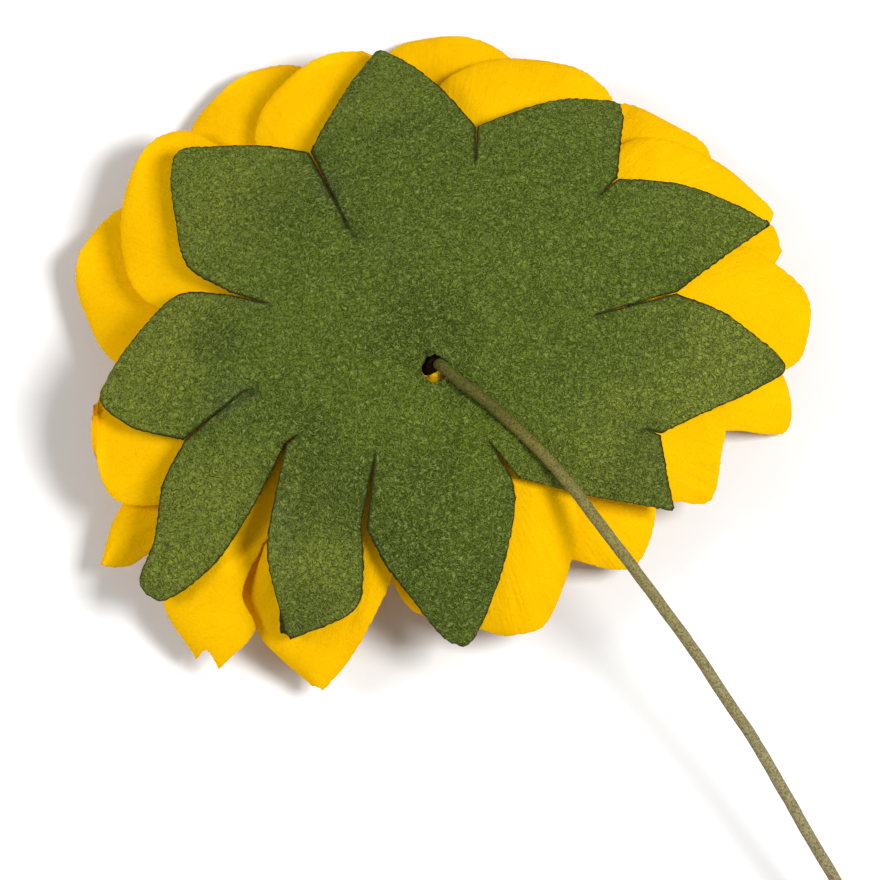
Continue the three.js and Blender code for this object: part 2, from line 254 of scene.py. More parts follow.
# ---------------------------------------------------------------- curves and bumps

def smooth_curve(points, places):
    """Points on a smooth curve through the given points; place 2.5 is midway from point 2 to 3.

    Each stretch is a cubic whose end slopes are the mean slope of the chords on either side,
    weighted by the other chord's length; its parameter grows with the root of the distance.
    """
    points = np.asarray(points, float)
    steps = np.sqrt(np.linalg.norm(np.diff(points, axis=0), axis=1))[:, None]
    chords = np.diff(points, axis=0) / steps
    slopes = np.empty_like(points)
    slopes[0], slopes[-1] = chords[0], chords[-1]
    before, after = steps[:-1], steps[1:]
    slopes[1:-1] = (chords[:-1] * after + chords[1:] * before) / (before + after)
    piece = np.clip(np.floor(places).astype(int), 0, len(points) - 2)
    t = (np.asarray(places) - piece)[:, None]
    blend = t * t * (3 - 2 * t)
    turn_in = (t**3 - 2 * t**2 + t) * steps[piece] * slopes[piece]
    turn_out = (t**3 - t**2) * steps[piece] * slopes[piece + 1]
    return points[piece] * (1 - blend) + points[piece + 1] * blend + turn_in + turn_out


def ripple(x, y, wavelength, seed, waves=7):
    """Smooth bumps of about -1 to 1: plane waves of nearly one length in random directions, summed."""
    rng = np.random.default_rng(seed)
    turn, phase = rng.uniform(0, 2 * np.pi, (2, waves))
    pull = 2 * np.pi / wavelength * rng.uniform(0.65, 1.4, waves)
    across = np.asarray(x)[..., None] * np.cos(turn) + np.asarray(y)[..., None] * np.sin(turn)
    return np.sin(across * pull + phase).sum(axis=-1) / math.sqrt(waves)


def smooth_step(low, high, value):
    """0 below low, 1 above high, and an even S between them."""
    t = np.clip((value - low) / (high - low), 0, 1)
    return t * t * (3 - 2 * t)


def polar(bearing, distance):
    """Plan place of a bearing in degrees and a distance."""
    turn = np.radians(bearing)
    return np.stack([distance * np.cos(turn), distance * np.sin(turn)], axis=-1)


# ---------------------------------------------------------------- the paper sheets

def rim_radius(bearing):
    """Plan radius of the dome's rim: an oval, fuller on the side away from the stem."""
    oval = RIM_OVAL * np.cos(2 * np.radians(bearing - OVAL_BEARING))
    return RIM_MEAN + oval + RIM_FULLER * np.cos(np.radians(bearing - FULLER_BEARING))


def hole_reach(hole, bearing):
    """Distance from the hub to the torn edge of a hole whose centre lies a little off it."""
    x, y, radius = hole
    turn = np.radians(bearing)
    along = x * np.cos(turn) + y * np.sin(turn)
    aside = -x * np.sin(turn) + y * np.cos(turn)
    torn = 0.04 * np.sin(5 * turn + 10 * x) + 0.03 * np.sin(11 * turn + 1)
    return along + np.sqrt(radius**2 - aside**2) + torn


def frayed(plan, to_edge, fray, seed):
    """The outline moved in and out at random, as torn fibres do; the paper behind it stays."""
    x, y = plan[..., 0], plan[..., 1]
    push = np.stack([ripple(x, y, FRAY_WAVE, seed), ripple(x, y, FRAY_WAVE, seed + 500)], axis=-1)
    return plan + push * (fray * np.exp(-to_edge / FRAY_DEPTH))[..., None]


def lobe_plan(lobe, roots, hole, slit, fray, seed):
    """Plan places, places across (-1 to 1) and edge distances of one lobe's grid.

    Each side runs out from the hole as a radius, then up the cut, then along a smooth curve
    through the outline's points. A row's points are spread between its two ends, a little
    closer together near them, and the last rows take on the shape of the tip's own curve. The
    rows nearest the hole follow its edge. On a sharp or torn tip the sides' curves and the
    tip's are separate, so that its corners stay.
    """
    outline = polar(*np.array(lobe, float).T)
    first, last = POINTS_A_SIDE - 1, len(lobe) - POINTS_A_SIDE
    tip_width = np.linalg.norm(outline[first] - outline[last])
    sharp = len(lobe) >= TORN_TIP or tip_width < SHARP_TIP
    right = outline[: first + 1] if sharp else outline
    left = outline[last:][::-1] if sharp else outline[::-1]
    share = np.linspace(0, 1, LOBE_COLUMNS + 1)
    share = 0.65 * share + 0.35 * (0.5 - 0.5 * np.cos(np.pi * share))
    hub = np.linspace(0, 1, HUB_ROWS, endpoint=False) ** 1.5
    cut = np.linspace(0, 1, CUT_ROWS, endpoint=False)[:, None]
    run = np.linspace(0, first, LOBE_ROWS)
    sides, ends = [], []
    for (bearing, reach), points, sign in ((roots[0], right, 1), (roots[1], left, -1)):
        from_hole = polar(bearing, hole_reach(hole, bearing) * (1 - hub) + reach * hub)
        outer = smooth_curve(points, run)
        inward = np.array([-outer[0, 1], outer[0, 0]]) / np.linalg.norm(outer[0]) * sign
        outer = outer + inward * (slit / 2 * np.clip(1 - run / 2, 0, 1))[:, None]
        up_the_cut = polar(bearing, reach) * (1 - cut) + outer[0] * cut
        side = np.concatenate([from_hole, up_the_cut, outer])
        angle = np.degrees(np.arctan2(side[:, 1], side[:, 0]))
        angle += 360 * np.round((lobe[3][0] - angle) / 360)
        sides.append(side)
        ends.append((angle, np.linalg.norm(side, axis=1)))
    bearing = ends[0][0][:, None] * (1 - share) + ends[1][0][:, None] * share
    distance = ends[0][1][:, None] * (1 - share) + ends[1][1][:, None] * share
    roots_reach = roots[0][1] * (1 - share) + roots[1][1] * share
    hole_edge = hole_reach(hole, bearing[:HUB_ROWS])
    distance[:HUB_ROWS] = hole_edge * (1 - hub[:, None]) + roots_reach * hub[:, None]
    plan = polar(bearing, distance)
    if sharp:
        tip = smooth_curve(outline[first : last + 1], share * (last - first))
    else:
        tip = smooth_curve(outline, first + share * (last - first))
    rows = HUB_ROWS + CUT_ROWS + LOBE_ROWS
    to_tip = np.clip((np.arange(rows) - rows + LOBE_ROWS) / (LOBE_ROWS - 1), 0, 1)[:, None, None]
    chord = sides[0][-1] * (1 - share)[:, None] + sides[1][-1] * share[:, None]
    bow = plan[-1] - chord
    plan = plan + (tip - chord - bow) * to_tip**5
    width = np.linalg.norm(sides[0] - sides[1], axis=1)[:, None]
    to_side = width * np.minimum(share, 1 - share)
    to_edge = np.minimum(to_side, np.linalg.norm(plan - tip, axis=-1))
    to_edge[:HUB_ROWS] = INSIDE
    return frayed(plan, to_edge, fray, seed), 2 * share - 1, to_edge


def along_line(points, start, end, width, power=2.0):
    """1 on the line from start to end, falling to 0 over about the width on either side."""
    start, run = np.array(start), np.array(end) - start
    t = np.clip(((points - start) @ run) / (run @ run), 0, 1)
    gap = np.linalg.norm(points - start - t[..., None] * run, axis=-1)
    return np.exp(-((gap / width) ** power))


def crease_depth(points, cuts, notches):
    """Depth of crease (0 none, 1 deepest) at each point, fading with its distance from the cuts."""
    crease = np.zeros(points.shape[:-1])
    for (bearing, distance, _over, depth), notch in zip(cuts, notches):
        line = along_line(points, polar(bearing, distance * 0.93), polar(*notch), 0.8, 1.3)
        crease = np.maximum(crease, depth * line)
    return crease


def lip_round_hole(layer, x, y, bearing):
    """1 on the hole's edge falling to 0 away from it, and 1 towards the lip's high side."""
    hole_x, hole_y, radius = HOLES[layer]
    lip = np.exp(-((np.hypot(x - hole_x, y - hole_y) - radius) ** 2) / 0.2)
    towards = smooth_step(0.5, 1, np.cos(np.radians(bearing - LIPS[layer][2])))
    return lip, towards


def round_spot(x, y, spot_x, spot_y, radius):
    """1 in the middle of a spot, falling away as a bell to almost 0 at twice its radius."""
    return np.exp(-(((x - spot_x) ** 2 + (y - spot_y) ** 2) / radius**2))


def sheet_surface(layer, lobes, cuts, habits, sizes):
    """All ten lobes' grids: places and the paper's marks, as lobes x rows x columns.

    A height is the dome's fall with distance, less the cup of the lobe's two edges, plus the
    lift of one edge over its neighbour, the bend and twist of the lobe, folds, the lip round
    the hole and random ripples. It eases off before it would come under the floor.
    """
    grids = []
    marks = {"edge": [], "crease": [], "worn_and_lit": [], "grey": [], "fresh": []}
    notches = [lobe[-1] for lobe in lobes]
    rows = np.arange(HUB_ROWS + CUT_ROWS + LOBE_ROWS)[:, None]
    along = np.clip((rows - HUB_ROWS) / (CUT_ROWS + LOBE_ROWS - 1), 0, 1)
    free = smooth_step(0, 0.45, along)
    for k, lobe in enumerate(lobes):
        before, after = cuts[k - 1], cuts[k]
        roots = [(c[0] + 360 * round((lobe[3][0] - c[0]) / 360), c[1]) for c in (before, after)]
        seed = 100 * layer + 3 * k + 7
        plan, across, to_edge = lobe_plan(
            lobe, roots, HOLES[layer], sizes.slit / MM, sizes.fray / MM, seed)
        own = np.linalg.norm(plan, axis=-1)
        plan = plan + np.array([0, SHEET_OFFSET[layer]]) * smooth_step(2, 15, own)[..., None]
        x, y = plan[..., 0], plan[..., 1]
        distance = np.hypot(x, y)
        bearing = np.degrees(np.arctan2(y, x))
        reach = distance / rim_radius(bearing)
        spread = reach**2 + 2.5 * np.clip(reach - 0.35, 0, 1) * (1 - reach)
        drop = sizes.dome_drop / MM * reach**DOME_POWER + PETAL_SPREAD[layer] * spread
        cup, bend, twist, worn_and_lit = habits[k]
        height = -layer * SHEET_PITCH - drop
        height = height - cup * free * across**2
        height = height + bend * along**3 + twist * across * free * along
        right, left = -before[2] / 2, after[2] / 2
        near = free * (1 - 0.75 * along)
        height = height + near * (right * ((1 - across) / 2) ** 2 + left * ((1 + across) / 2) ** 2)
        crease = crease_depth(plan, cuts, notches)
        # Lightening of the lobes: partly wear, partly painted light that makes them lighter than the hub.
        rubbed_and_lit, greyed, fresh = worn_and_lit * free + 0 * height, 0 * height, 0 * height
        height = height - CREASE_SINK * crease * (1 - 0.6 * along)
        height = height - RIM_TURN * np.exp(-to_edge / RIM_WIDTH)
        height = height + WIDE_RIPPLE * free * ripple(x, y, WIDE_WAVE, 11 + layer)
        height = height + FINE_RIPPLE * ripple(x, y, FINE_WAVE, 21 + layer)
        lip, towards = lip_round_hole(layer, x, y, bearing)
        low_lip, high_lip, _bearing = LIPS[layer]
        height = height + lip * (low_lip + high_lip * towards)
        if layer == CALYX:
            for x0, y0, x1, y1, rise, width in CALYX_FOLDS:
                height = height + rise * along_line(plan, (x0, y0), (x1, y1), width)
            for *spot, amount in CALYX_SPOTS:
                rubbed_and_lit = rubbed_and_lit + max(amount, 0) * round_spot(x, y, *spot)
                greyed = greyed + max(-amount, 0) * round_spot(x, y, *spot)
            for *spot, amount in CALYX_FRESH:
                fresh = fresh + amount * round_spot(x, y, *spot)
            # Painted shade on the puckered flap at the hole's high side, carried by the crease mark.
            crease = np.maximum(crease, lip**0.4 * towards)
        else:
            x0, y0, x1, y1, rise, width = PETAL_DENT
            height = height + (layer == BACK) * rise * along_line(plan, (x0, y0), (x1, y1), width)
            fan = np.radians(bearing) * 22
            wrinkles = ripple(fan, distance * 0.14, WRINKLE_WAVE, 31 + 10 * layer + k)
            height = height + WRINKLE * free * wrinkles
        floor = REST_PAPERS * sizes.paper / MM - HUB[2] / MM
        above = height - floor
        eased = REST_EASE * np.exp(above / REST_EASE - 1)
        height = floor + np.where(above > REST_EASE, above, eased)
        grids.append(np.stack([x, y, height], axis=-1))
        edge = np.exp(-to_edge / EDGE_MARK)
        for name, values in zip(marks, (edge, crease, rubbed_and_lit, greyed, fresh)):
            marks[name].append(values)
    return np.array(grids), {name: np.array(values) for name, values in marks.items()}


def sheet_mesh(name, grids, marks, thickness):
    """Joins the lobes' grids at the hub, leaves the cuts open and gives the paper its thickness.

    The fan attribute spreads the sheet flat, as millimetres round the hub and outwards from it.
    """
    lobes, rows, columns = grids.shape[:3]
    index = np.arange(lobes * rows * columns).reshape(lobes, rows, columns)
    joined = HUB_ROWS + 1
    index[:, :joined, 0] = np.roll(index[:, :joined, -1], 1, axis=0)
    a, b = index[:, :-1, :-1], index[:, 1:, :-1]
    c, d = index[:, 1:, 1:], index[:, :-1, 1:]
    faces = np.stack([a, b, c, d], axis=-1).reshape(-1, 4)
    used, faces = np.unique(faces, return_inverse=True)
    faces = faces.reshape(-1, 4)
    places = grids.reshape(-1, 3)[used]
    piece = new_piece(name, places * MM + HUB, faces)
    set_marks(piece, {mark: values.reshape(-1)[used] for mark, values in marks.items()})
    distance = np.hypot(places[:, 0], places[:, 1])
    turn = np.arctan2(places[:, 1], places[:, 0])
    fan = np.stack([24 * np.cos(turn), 24 * np.sin(turn), distance], axis=1)
    layer = piece.data.attributes.new("fan", "FLOAT_VECTOR", "POINT")
    layer.data.foreach_set("vector", fan.reshape(-1).astype(np.float32))
    mark_open_edges_sharp(piece.data, faces)
    solid = piece.modifiers.new("paper thickness", "SOLIDIFY")
    solid.thickness = thickness
    solid.offset = -1
    return piece


def mark_open_edges_sharp(mesh, faces):
    """Marks the edges that only one face uses, so that the paper's rim isn't shaded as round."""
    ends = np.concatenate([faces, np.roll(faces, -1, axis=1)]).reshape(2, -1).T
    size = len(mesh.vertices)
    keys, uses = np.unique(ends.min(axis=1) * size + ends.max(axis=1), return_counts=True)
    pairs = np.empty(2 * len(mesh.edges), np.int32)
    mesh.edges.foreach_get("vertices", pairs)
    pairs = pairs.reshape(-1, 2).astype(np.int64)
    own = pairs.min(axis=1) * size + pairs.max(axis=1)
    sharp = np.isin(own, keys[uses == 1])
    mesh.attributes.new("sharp_edge", "BOOLEAN", "EDGE").data.foreach_set("value", sharp)


def new_piece(name, places, *faces):
    """A new object at the origin, its place in its mesh, smooth shaded."""
    mesh = bpy.data.meshes.new(name)
    polygons = [face for part in faces for face in np.asarray(part).tolist()]
    mesh.from_pydata(np.asarray(places).tolist(), [], polygons)
    mesh.polygons.foreach_set("use_smooth", np.ones(len(mesh.polygons), bool))
    mesh.update()
    piece = bpy.data.objects.new(name, mesh)
    bpy.context.scene.collection.objects.link(piece)
    return piece


def set_marks(piece, marks):
    """Stores each mark as one number at every point, for the materials to read."""
    for name, values in marks.items():
        layer = piece.data.attributes.new(name, "FLOAT", "POINT")
        layer.data.foreach_set("value", values.astype(np.float32))


def finish_piece(piece, node, material):
    """Puts the piece on the body, in the place of its CAD node, with its finish."""
    piece.data.materials.append(material)
    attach(piece, "root")
    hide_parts(node)


# ---------------------------------------------------------------- shader maths

class Value:
    """A shader number that can stand in a sum: each operation adds its Math node."""

    def __init__(self, shader, socket):
        self.shader, self.socket = shader, socket

    def __add__(self, other):
        return self.shader.maths("ADD", self, other)

    def __sub__(self, other):
        return self.shader.maths("SUBTRACT", self, other)

    def __rsub__(self, other):
        return self.shader.maths("SUBTRACT", other, self)

    def __mul__(self, other):
        return self.shader.maths("MULTIPLY", self, other)

    def __pow__(self, other):
        return self.shader.maths("POWER", self, other)

    __radd__ = __add__
    __rmul__ = __mul__


class Shader:
    """A material on its Principled surface, with short ways to add its nodes."""

    def __init__(self, name, **constants):
        self.material = bpy.data.materials.new(name)
        self.material.use_nodes = True
        self.tree = self.material.node_tree
        self.surface = self.tree.nodes["Principled BSDF"]
        for socket, value in constants.items():
            self.surface.inputs[socket.replace("_", " ")].default_value = value
        place = self.add("ShaderNodeTexCoord").outputs["Object"]
        self.place = self.vector("SCALE", place, Scale=1 / MM)

    def add(self, kind, settings=None, sockets=None):
        """A new node: its settings are set first, then its sockets' values or links."""
        node = self.tree.nodes.new(kind)
        for name, value in (settings or {}).items():
            setattr(node, name, value)
        for name, value in (sockets or {}).items():
            self.put(node.inputs[name], value)
        return node

    def put(self, socket, value):
        value = value.socket if isinstance(value, Value) else value
        if isinstance(value, bpy.types.NodeSocket):
            self.tree.links.new(value, socket)
        else:
            socket.default_value = value

    def maths(self, operation, *values, clamp=False):
        settings = {"operation": operation, "use_clamp": clamp}
        node = self.add("ShaderNodeMath", settings, dict(enumerate(values)))
        return Value(self, node.outputs[0])

    def vector(self, operation, *vectors, **sockets):
        sockets.update(enumerate(vectors))
        node = self.add("ShaderNodeVectorMath", {"operation": operation}, sockets)
        return node.outputs[0]

    def step(self, value, low, high, bottom=0.0, top=1.0):
        """bottom below low, top above high, with an even S between."""
        sockets = {0: value, 1: low, 2: high, 3: bottom, 4: top}
        node = self.add("ShaderNodeMapRange", {"interpolation_type": "SMOOTHSTEP"}, sockets)
        return Value(self, node.outputs[0])

    def noise(self, size, detail=0.0, place=None, roughness=0.5, distortion=0.0, colour=False):
        """Noise whose lumps are about size millimetres across."""
        sockets = {"Vector": place or self.place, "Scale": 1 / size, "Detail": detail,
                   "Roughness": roughness, "Distortion": distortion}
        node = self.add("ShaderNodeTexNoise", {}, sockets)
        return node.outputs[1] if colour else Value(self, node.outputs[0])

    def mark(self, name):
        """A number that the piece's mesh holds at each point."""
        node = self.add("ShaderNodeAttribute", {"attribute_name": name})
        return Value(self, node.outputs["Fac"])

    def mix(self, factor, first, second, blend="MIX"):
        settings = {"data_type": "RGBA", "blend_type": blend}
        return self.add("ShaderNodeMix", settings, {0: factor, 6: first, 7: second}).outputs[2]

    def moved(self, amount, size, shift=(0.0, 0.0, 0.0)):
        """The place in millimetres, pushed about by noise of one size, so that lines curl."""
        push = self.vector("SUBTRACT", self.noise(size, 1.0, colour=True), (0.5, 0.5, 0.5))
        push = self.vector("SCALE", push, Scale=amount)
        return self.vector("ADD", self.vector("ADD", self.place, push), shift)

    def streaks(self, place, turn, long, wide, shift, low, high):
        """Short streaks at one angle: noise squeezed across it, above a level."""
        sockets = {"Vector": place, "Location": shift, "Rotation": (0, 0, turn),
                   "Scale": (long, wide, long)}
        place = self.add("ShaderNodeMapping", {"vector_type": "TEXTURE"}, sockets).outputs[0]
        return self.step(self.noise(1, 1.0, place), low, high)

    def bump(self, height, distance):
        sockets = {"Strength": 1.0, "Distance": distance, "Height": height}
        self.put(self.surface.inputs["Normal"], self.add("ShaderNodeBump", {}, sockets).outputs[0])


def felt(shader):
    """The felted surface of handmade paper: light and dark curly fibres at six angles, and grain."""
    curled = shader.moved(0.5, 0.45)
    fibres = [0.0, 0.0]
    for k in range(6):
        shift = (3.7 * k, 5.3 * k, 2.1 * k)
        layer = shader.streaks(curled, k * math.pi / 6 + 0.3, 0.48, 0.1, shift, 0.5, 0.7)
        fibres[k % 2] = shader.maths("MAXIMUM", layer, fibres[k % 2])
    return *fibres, shader.noise(0.13, 2.0, roughness=0.6)


def green_paper(colours):
    """Mottled green felted paper: fibres over darker pits, wear and painted light on the lobes, painted
    shade in the creases and a dark cut edge with painted contact shadow.
    """
    shader = Shader("green paper", Roughness=0.95, Specular_IOR_Level=0.08)
    light, dark, grain = felt(shader)
    patches = shader.noise(6, 2.0, roughness=0.55)
    clouds = shader.noise(9, 1.0, shader.vector("ADD", shader.place, (31, 7, 3)))
    spots = shader.noise(1.4, 2.0, roughness=0.55)
    # Wear mixed with painted light: the lobes lighter than the hub.
    worn_and_lit = patches * 0.5 + shader.mark("worn_and_lit") * 0.62 + spots * 0.3
    base = shader.mix(shader.step(worn_and_lit, 0.28, 1.15), colours.green[:], colours.green_worn_and_lit[:])
    fresh = shader.mark("fresh") + shader.step(clouds, 0.5, 0.75, 0.0, 0.4)
    base = shader.mix(fresh * shader.step(spots, 0.3, 0.6, 0.6, 1.0), base, colours.green_fresh[:])
    base = shader.mix(shader.step(clouds, 0.32, 0.5, 0.5, 0.0), base, colours.green_dark[:])
    base = shader.mix(shader.step(spots, 0.45, 0.8, 0.0, 0.25), base, colours.green_dark[:])
    grey = shader.mark("grey") * shader.step(spots, 0.3, 0.6, 0.4, 1.0)
    base = shader.mix(grey, base, colours.green_grey[:])
    base = shader.mix(dark * 0.85, base, colours.green_dark[:])
    strand = light * shader.step(grain, 0.3, 0.6, 0.35, 0.9)
    base = shader.mix(strand, base, colours.green_strand[:])
    base = shader.mix(shader.step(grain, 0.3, 0.45, 0.5, 0.0), base, colours.green_dark[:])
    # Painted shade along the creases and on the flap over the hole.
    crease = shader.mark("crease") * shader.step(shader.noise(0.7, 2.0), 0.3, 0.62, 0.3, 1.0)
    base = shader.mix(shader.step(crease, 0.2, 0.9, 0.0, 0.7), base, colours.green_crease_shade[:])
    # Dark cut edge, deepened as painted contact shadow along the rim.
    rim = shader.step(shader.mark("edge"), 0.15, 0.8, 0.0, 0.85)
    base = shader.mix(rim, base, colours.green_edge_and_shadow[:])
    shader.put(shader.surface.inputs["Base Color"], base)
    shader.bump(light * 0.7 - dark * 0.7 + grain * 0.7 + spots * 0.3, 0.00014)
    return shader.material


def yellow_paper(colours):
    """Bright yellow felted paper with fine wrinkles that run out from the hub."""
    shader = Shader("yellow paper", Roughness=0.95, Specular_IOR_Level=0.0)
    light, dark, grain = felt(shader)
    patches = shader.noise(6, 2.0, roughness=0.5)
    base = shader.mix(shader.step(patches, 0.35, 0.7), colours.yellow[:], colours.yellow_deep[:])
    base = shader.mix(light * 0.12, base, colours.yellow_strand[:])
    rim = shader.step(shader.mark("edge"), 0.4, 0.95, 0.0, 0.4)
    base = shader.mix(rim, base, colours.yellow_edge[:])
    shader.put(shader.surface.inputs["Base Color"], base)
    fan = shader.add("ShaderNodeAttribute", {"attribute_name": "fan"}).outputs["Vector"]
    place = shader.vector("MULTIPLY", fan, (2.4, 2.4, 0.35))
    wrinkle = shader.noise(1, 2.0, place, 0.55)
    shader.bump(light * 0.2 - dark * 0.15 + grain * 0.25 + wrinkle * 1.2, 0.00007)
    return shader.material


def centre_paper(colours):
    """Dark brown fringed paper, lighter towards the fringe's tips."""
    shader = Shader("centre paper", Roughness=0.95, Specular_IOR_Level=0.12)
    tips = shader.step(shader.mark("along"), 0.4, 1.0, 0.0, 0.7)
    base = shader.mix(tips, colours.centre[:], colours.centre_tip[:])
    spots = shader.step(shader.noise(0.5, 2.0), 0.4, 0.7, 0.0, 0.4)
    base = shader.mix(spots, base, colours.centre_tip[:])
    shader.put(shader.surface.inputs["Base Color"], base)
    shader.bump(shader.noise(0.12, 2.0), 0.00004)
    return shader.material


def stem_wrap(colours):
    """Wound paper strip: khaki, darker at each turn's edge, stained darker near the flower."""
    shader = Shader("stem wrap", Roughness=0.8, Specular_IOR_Level=0.3)
    blotch = shader.noise(0.6, 3.0, roughness=0.6)
    grain = shader.noise(0.15, 2.0, roughness=0.6)
    near = shader.mark("near")
    base = shader.mix(shader.step(blotch, 0.4, 0.7, 0.0, 0.35), colours.stem[:], colours.stem_light[:])
    base = shader.mix(shader.step(grain, 0.52, 0.64, 0.0, 0.5), base, colours.stem_light[:])
    base = shader.mix(shader.step(grain, 0.36, 0.5, 0.85, 0.0), base, colours.stem_dark[:])
    seam = shader.step(shader.mark("seam"), 0.55, 1.0, 0.0, 0.2)
    base = shader.mix(seam, base, colours.stem_dark[:])
    white = (1, 1, 1, 1)
    base = shader.mix(1.0, base, shader.mix(near**0.5, white, colours.stem_yellowed[:]), "MULTIPLY")
    base = shader.mix(1.0, base, shader.mix(near, white, colours.stem_shaded[:]), "MULTIPLY")
    base = shader.mix(shader.step(shader.mark("core"), 0.4, 0.6), base, colours.stem_core[:])
    shader.put(shader.surface.inputs["Base Color"], base)
    shader.bump(blotch * 0.5 + grain * 0.7, 0.00006)
    return shader.material


def floor_paint(colour):
    """Plain matt paint."""
    shader = Shader("floor", Roughness=0.95, Specular_IOR_Level=0.1)
    shader.surface.inputs["Base Color"].default_value = colour
    return shader.material


# ---------------------------------------------------------------- settings a user would change

def colour(name, description, rgb):
    return FloatVectorProperty(
        name=name, description=description, default=(*rgb, 1.0), size=4, subtype="COLOR", min=0, max=1)


def length(name, description, default):
    return FloatProperty(
        name=name, description=description, default=default, unit="LENGTH", min=0, precision=5)


class FlowerSizes(bpy.types.PropertyGroup):
    paper: length("Paper thickness", "Thickness of every paper sheet", 0.0004)
    dome_drop: length("Dome drop", "How far the calyx falls from its middle to its rim", 0.0095)
    slit: length("Cut width", "Width of the cut between two lobes of a sheet", 0.00012)
    fray: length("Fray", "How far torn fibres roughen the cut edges", 0.00003)
    stem_diameter: length("Stem diameter", "Thickness of the covered wire", 0.00093)
    wrap_pitch: length("Wrap pitch", "Length of one turn of the stem's paper strip", 0.0032)
    fringe_width: length("Fringe width", "Width of one strip of the centre's fringe", 0.00075)


class FlowerColours(bpy.types.PropertyGroup):
    green: colour("Green", "Main colour of the calyx", (0.113, 0.177, 0.0125))
    # Lighter, browner patches: partly wear, partly painted light on the lobes.
    green_worn_and_lit: colour("Worn green", "Lighter, browner patches of the calyx", (0.29, 0.335, 0.036))
    green_dark: colour("Dark green", "Pits between the calyx paper's strands", (0.026, 0.044, 0.004))
    green_strand: colour("Green strands", "Loose fibres on the calyx", (0.235, 0.295, 0.062))
    # Painted shade along the calyx's creases.
    green_crease_shade: colour("Crease", "Rubbed colour along the calyx's creases", (0.022, 0.032, 0.012))
    green_fresh: colour("Fresh green", "Brighter patches of the calyx", (0.155, 0.222, 0.007))
    green_grey: colour("Grey green", "Greyed spots beside the calyx's folds", (0.125, 0.155, 0.062))
    # Dark cut edge of the calyx, with painted contact shadow.
    green_edge_and_shadow: colour("Green edge", "Cut edge of the calyx", (0.032, 0.028, 0.006))
    yellow: colour("Yellow", "Main colour of the petals", (0.97, 0.53, 0.0008))
    yellow_deep: colour("Deep yellow", "Deeper patches of the petals", (0.95, 0.495, 0.0006))
    yellow_strand: colour("Yellow strands", "Loose fibres on the petals", (0.98, 0.57, 0.008))
    yellow_edge: colour("Yellow edge", "Cut edge of the petals", (0.85, 0.36, 0.001))
    centre: colour("Centre", "Rolled centre, deep between its strips", (0.1, 0.06, 0.025))
    centre_tip: colour("Centre tips", "Tips of the centre's fringe", (0.2, 0.11, 0.04))
    stem: colour("Stem", "Main colour of the stem's wrap", (0.245, 0.205, 0.1))
    stem_light: colour("Stem light", "Lighter fibres of the stem's wrap", (0.36, 0.33, 0.2))
    stem_dark: colour("Stem seam", "Edge of each turn of the wrap", (0.11, 0.09, 0.035))
    stem_yellowed: colour("Stem yellowing", "Stain of the wrap towards the flower", (0.97, 0.94, 0.22))
    stem_shaded: colour("Stem darkening", "Darker stain of the wrap beside the calyx", (0.33, 0.38, 0.28))
    stem_core: colour("Stem core", "Bare wire at the stem's cut ends", (0.25, 0.24, 0.23))
    floor: colour("Floor", "Plain surface under the flower", (0.93, 0.93, 0.925))


# ---------------------------------------------------------------- operators

class FLOWER_OT_calyx(bpy.types.Operator):
    """Make the green calyx: one sheet with ten lobes"""

    bl_idname = "flower.calyx"
    bl_label = "Calyx"

    def execute(self, context):
        sizes = context.scene.flower_sizes
        grids, marks = sheet_surface(CALYX, CALYX_LOBES, CALYX_CUTS, CALYX_HABITS, sizes)
        piece = sheet_mesh("calyx_sheet", grids, marks, sizes.paper)
        finish_piece(piece, "calyx", green_paper(context.scene.flower_colours))
        return {"FINISHED"}


def petal_cuts(lobes):
    """The cuts of a petal sheet, at each petal's counter-clockwise notch, in CALYX_CUTS' terms."""
    return [(lobe[-1][0] % 360, PETAL_ROOT, PETAL_OVER * (-1) ** k, PETAL_CREASE)
            for k, lobe in enumerate(lobes)]


class FLOWER_OT_petals(bpy.types.Operator):
    """Make the two yellow petal sheets, one behind the other"""

    bl_idname = "flower.petals"
    bl_label = "Petals"

    def execute(self, context):
        sizes = context.scene.flower_sizes
        paper = yellow_paper(context.scene.flower_colours)
        sheets = (
            (BACK, "back_petals", BACK_PETALS, BACK_HABITS),
            (FRONT, "front_petals", FRONT_PETALS, FRONT_HABITS),
        )
        for layer, node, petals, habits in sheets:
            grids, marks = sheet_surface(layer, petals, petal_cuts(petals), habits, sizes)
            piece = sheet_mesh(node + "_sheet", grids, marks, sizes.paper)
            finish_piece(piece, node, paper)
        return {"FINISHED"}


def ring_faces(rings, sides):
    """Quads between rings of points that follow one another, each ring closed on itself."""
    ring = np.arange(rings - 1)[:, None] * sides
    side = np.arange(sides)
    after = (side + 1) % sides
    quads = np.stack([ring + side, ring + after, ring + sides + after, ring + sides + side], axis=-1)
    return quads.reshape(-1, 4)


class FLOWER_OT_centre(bpy.types.Operator):
    """Make the rolled and fringed paper centre"""

    bl_idname = "flower.centre"
    bl_label = "Centre"

    def execute(self, context):
        width = context.scene.flower_sizes.fringe_width / MM
        places, quads, along = fringed_roll(width)
        piece = new_piece("centre_roll", places * MM + HUB, *quads)
        set_marks(piece, {"along": along})
        finish_piece(piece, "flower_centre", centre_paper(context.scene.flower_colours))
        return {"FINISHED"}


